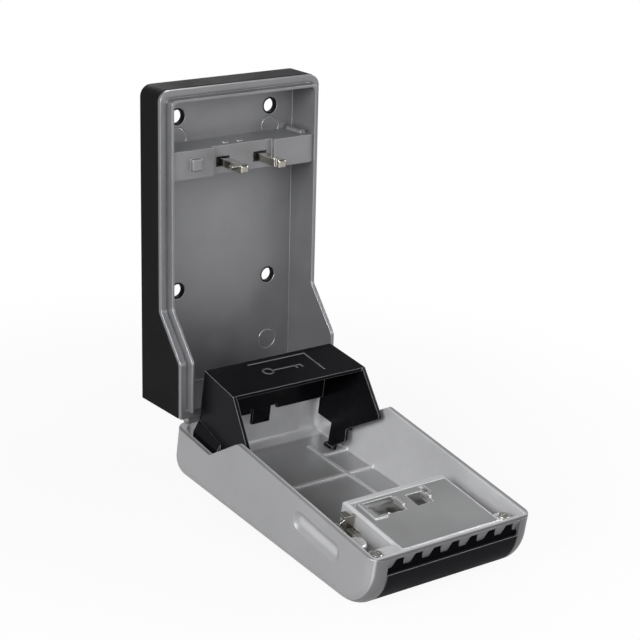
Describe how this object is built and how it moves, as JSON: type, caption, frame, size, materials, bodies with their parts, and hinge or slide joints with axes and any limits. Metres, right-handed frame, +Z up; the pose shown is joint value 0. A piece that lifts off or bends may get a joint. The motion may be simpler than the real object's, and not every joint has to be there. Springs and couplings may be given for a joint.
{
  "type": "wall key safe",
  "caption": "Wall-mounted combination key safe, shown open: a backed wall unit and a hinged door with key tray, dial lock and shutter.",
  "frame": {"origin": "centre of the four wall-screw holes, on the face that lies on the wall", "axes": "+X to the right as seen from the front, +Y into the wall, +Z up"},
  "size_m": [0.0834, 0.1742, 0.1819],
  "materials": {
    "jacket_rubber": "matt black moulded rubber",
    "casing_paint": "satin mid-grey paint on die-cast metal",
    "door_paint": "fine silver metallic paint on die-cast metal",
    "housing_paint": "satin grey paint on die-cast metal",
    "cover_plate": "satin grey sheet",
    "nickel": "bright nickel plating",
    "steel": "zinc plated",
    "tray_plastic": "black moulded plastic, satin",
    "shutter_plastic": "fine-grained dark grey plastic",
    "seal_rubber": "matt black",
    "dial_plastic": "black plastic with white figures"
  },
  "bodies": {
    "wall_unit": {"wall_jacket": "jacket_rubber", "wall_casing": "casing_paint", "strike_bar": "casing_paint", "strike_hook_left": "nickel", "strike_hook_right": "nickel", "strike_screws": "steel", "hinge_pin": "steel"},
    "door": {"door_shell": "door_paint", "shutter_seal": "seal_rubber", "lock_housing": "housing_paint", "lock_cover": "cover_plate", "lock_screws": "steel", "latch_spring_left": "steel", "latch_spring_right": "steel", "dial_detent": "steel", "key_tray": "tray_plastic"},
    "latch": {"latch_plate": "steel", "open_slider": "shutter_plastic", "slider_screw": "steel"},
    "shaft": {"dial_shaft": "steel", "shaft_clip": "steel"},
    "reset": {"reset_lever": "nickel"},
    "cover": {"shutter": "shutter_plastic"},
    "wheel_1": {"dial_1": "dial_plastic", "dial_cam_1": "steel"},
    "wheel_2": {"dial_2": "dial_plastic", "dial_cam_2": "steel"},
    "wheel_3": {"dial_3": "dial_plastic", "dial_cam_3": "steel"},
    "wheel_4": {"dial_4": "dial_plastic", "dial_cam_4": "steel"}
  },
  "joints": [
    {"name": "door_hinge", "type": "hinge", "parent": "wall_unit", "child": "door", "pos_m": [0, -0.0295, -0.0896], "axis": [-1, 0, 0], "range_deg": [0, 99.5]},
    {"name": "latch_slide", "type": "slide", "parent": "door", "child": "latch", "axis": [0, -0.9863, -0.165], "range_m": [0, 0.004], "stiffness_N_per_m": 150, "springref_m": -0.005, "deforming": ["latch_spring_left", "latch_spring_right"]},
    {"name": "reset_slide", "type": "slide", "parent": "door", "child": "reset", "axis": [0, -0.9863, -0.165], "range_m": [0, 0.005]},
    {"name": "shaft_shift", "type": "slide", "parent": "door", "child": "shaft", "axis": [1, 0, 0], "range_m": [0, 0.0015]},
    {"name": "shutter_hinge", "type": "hinge", "parent": "door", "child": "cover", "pos_m": [0, -0.11251, -0.12126], "axis": [1, 0, 0], "range_deg": [0, 95]},
    {"name": "wheel_1_spin", "type": "hinge", "parent": "door", "child": "wheel_1", "pos_m": [-0.0144, -0.15385, -0.11659], "axis": [1, 0, 0], "continuous": true},
    {"name": "wheel_2_spin", "type": "hinge", "parent": "door", "child": "wheel_2", "pos_m": [-0.0048, -0.15385, -0.11659], "axis": [1, 0, 0], "continuous": true},
    {"name": "wheel_3_spin", "type": "hinge", "parent": "door", "child": "wheel_3", "pos_m": [0.0048, -0.15385, -0.11659], "axis": [1, 0, 0], "continuous": true},
    {"name": "wheel_4_spin", "type": "hinge", "parent": "door", "child": "wheel_4", "pos_m": [0.0144, -0.15385, -0.11659], "axis": [1, 0, 0], "continuous": true}
  ],
  "couplings": [
    {"joint": "shaft_shift", "follows": "reset_slide", "ratio": 0.3}
  ]
}
